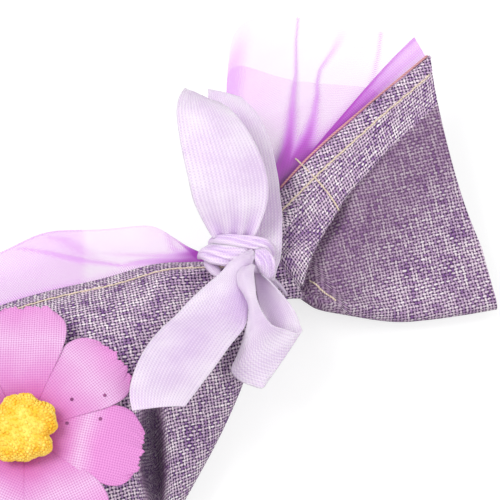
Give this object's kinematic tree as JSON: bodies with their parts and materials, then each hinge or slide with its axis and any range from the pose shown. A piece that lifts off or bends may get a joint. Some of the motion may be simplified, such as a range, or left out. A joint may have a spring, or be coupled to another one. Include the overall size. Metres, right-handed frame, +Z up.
{
  "type": "lavender sachet",
  "caption": "Stuffed fabric lavender sachet: linen jacket folded round a sheer organza bag, neck gathered under a satin ribbon bow, cloth flower on its front.",
  "frame": {"origin": "middle of the footprint, on the surface that the sachet lies on", "axes": "+Y from the stuffed body to the flared mouth, +X towards the folded side, +Z up out of the flower"},
  "size_m": [0.104, 0.1936, 0.0421],
  "materials": {
    "linen": "coarse two-tone plain weave",
    "organza": "sheer, fine mesh",
    "muslin": "thin plain weave",
    "buds": "dried buds, loose",
    "satin": "satin ribbon with a fine rib",
    "petal": "pressed fine-weave cloth",
    "felt": "felt",
    "pollen": "granular foam beads",
    "thread": "twisted sewing thread"
  },
  "bodies": {
    "pouch": {"linen_front_panel": "linen", "linen_back_panel": "linen", "organza_front_sheet": "organza", "organza_back_sheet": "organza", "inner_sachet_top": "muslin", "inner_sachet_bottom": "muslin", "lavender_fill": "buds", "ribbon_neck_band": "satin", "ribbon_knot": "satin", "flower_pad": "felt", "petal_1": "petal", "petal_2": "petal", "petal_3": "petal", "petal_4": "petal", "petal_5": "petal", "petal_6": "petal", "petal_7": "petal", "pollen_head": "pollen", "hem_thread_body": "thread", "hem_thread_mouth": "thread", "back_hem_thread_body": "thread", "back_hem_thread_mouth": "thread", "mouth_stitch_thread": "thread"},
    "upper_loop": {"ribbon_upper_loop": "satin"},
    "lower_loop": {"ribbon_lower_loop": "satin"},
    "long_tail": {"ribbon_long_tail": "satin"},
    "short_tail": {"ribbon_short_tail": "satin"}
  },
  "joints": [
    {"name": "upper_loop_lift", "type": "hinge", "parent": "pouch", "child": "upper_loop", "pos_m": [0.00213, 0.02573, 0.02796], "axis": [0.251, 0.968, 0], "range_deg": [0, 45], "stiffness_Nm_per_rad": 0.004},
    {"name": "lower_loop_lift", "type": "hinge", "parent": "pouch", "child": "lower_loop", "pos_m": [0.01344, 0.02116, 0.02776], "axis": [-0.4911, -0.8711, 0], "range_deg": [-4, 28], "stiffness_Nm_per_rad": 0.004},
    {"name": "long_tail_lift", "type": "hinge", "parent": "pouch", "child": "long_tail", "pos_m": [0.00771, 0.01756, 0.02476], "axis": [-0.9563, -0.2924, 0], "range_deg": [0, 60]},
    {"name": "short_tail_lift", "type": "hinge", "parent": "pouch", "child": "short_tail", "pos_m": [0.00319, 0.02695, 0.02236], "axis": [0.493, 0.87, 0], "range_deg": [-6, 6], "stiffness_Nm_per_rad": 0.002}
  ]
}
